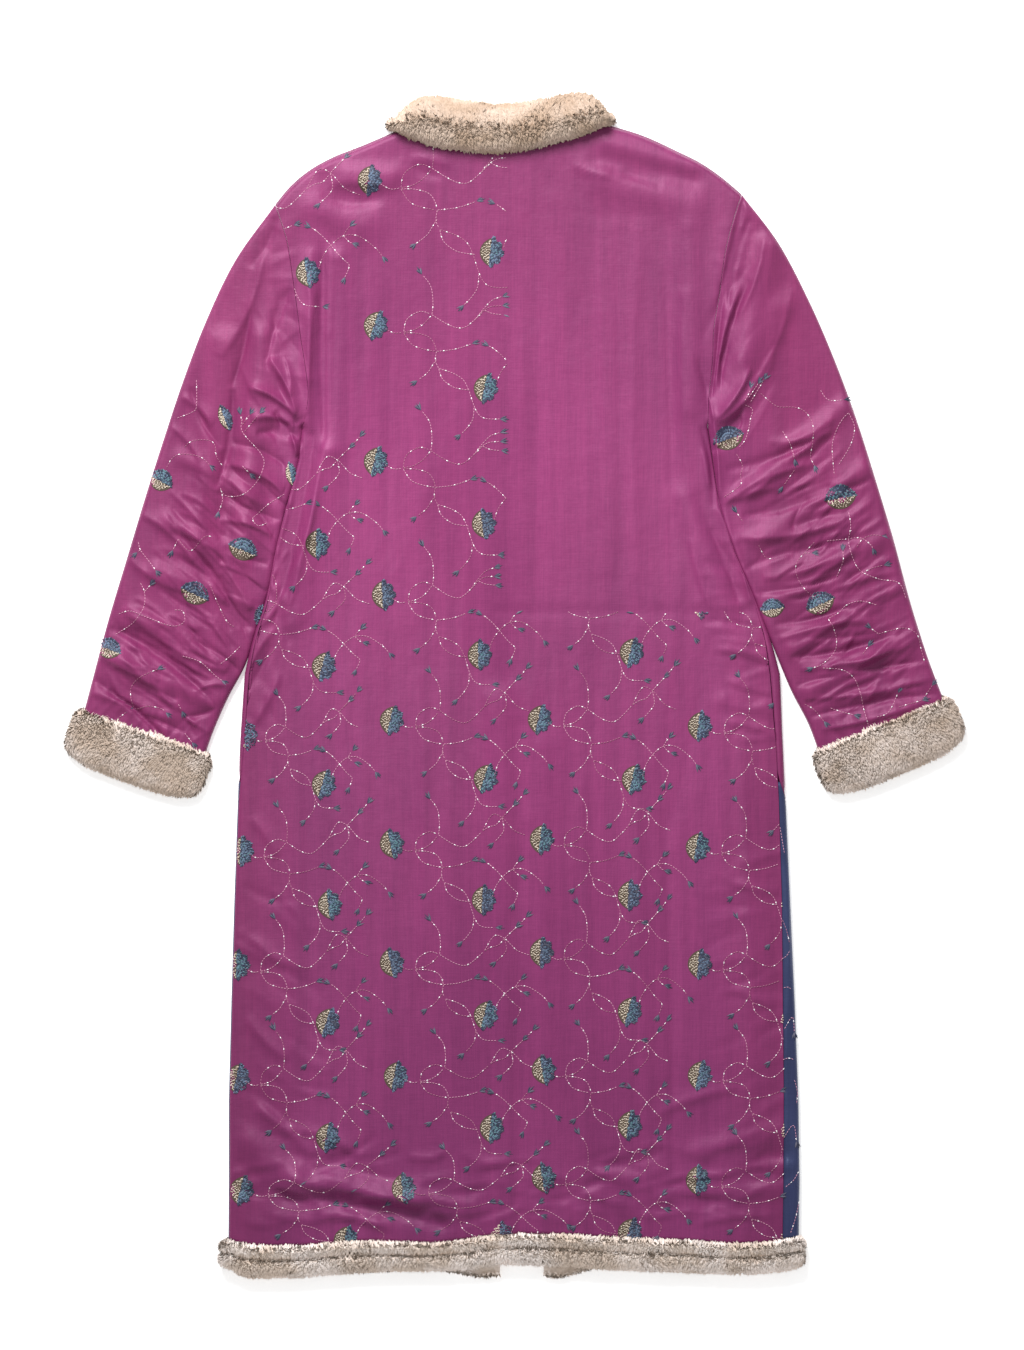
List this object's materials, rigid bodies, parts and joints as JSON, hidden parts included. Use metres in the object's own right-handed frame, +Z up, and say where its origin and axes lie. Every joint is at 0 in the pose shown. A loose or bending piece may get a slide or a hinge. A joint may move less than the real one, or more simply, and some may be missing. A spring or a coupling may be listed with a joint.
{
  "type": "silk coat",
  "caption": "Long padded silk coat with flower embroidery and fur collar, cuffs and hem, laid face down and flat with its back up.",
  "frame": {"origin": "middle of the coat's box, on the floor that it lies on", "axes": "+X to the right seen from above, +Y from the hem to the collar, +Z up from the floor, so the coat's back faces +Z"},
  "size_m": [0.8994, 1.179, 0.03],
  "materials": {
    "magenta_silk": "satin shot silk",
    "navy_silk": "satin silk",
    "cream_fur": "short soft pile"
  },
  "bodies": {
    "root": {"back": "magenta_silk", "front_left": "magenta_silk", "front_right": "magenta_silk", "gusset_left": "navy_silk", "gusset_right": "navy_silk", "sleeve_left": "magenta_silk", "sleeve_right": "magenta_silk", "collar": "cream_fur", "cuff_left": "cream_fur", "cuff_right": "cream_fur", "hem_trim_back": "cream_fur", "hem_trim_left": "cream_fur", "hem_trim_right": "cream_fur", "pocket_facing_left": "navy_silk", "pocket_facing_right": "navy_silk"}
  },
  "joints": []
}
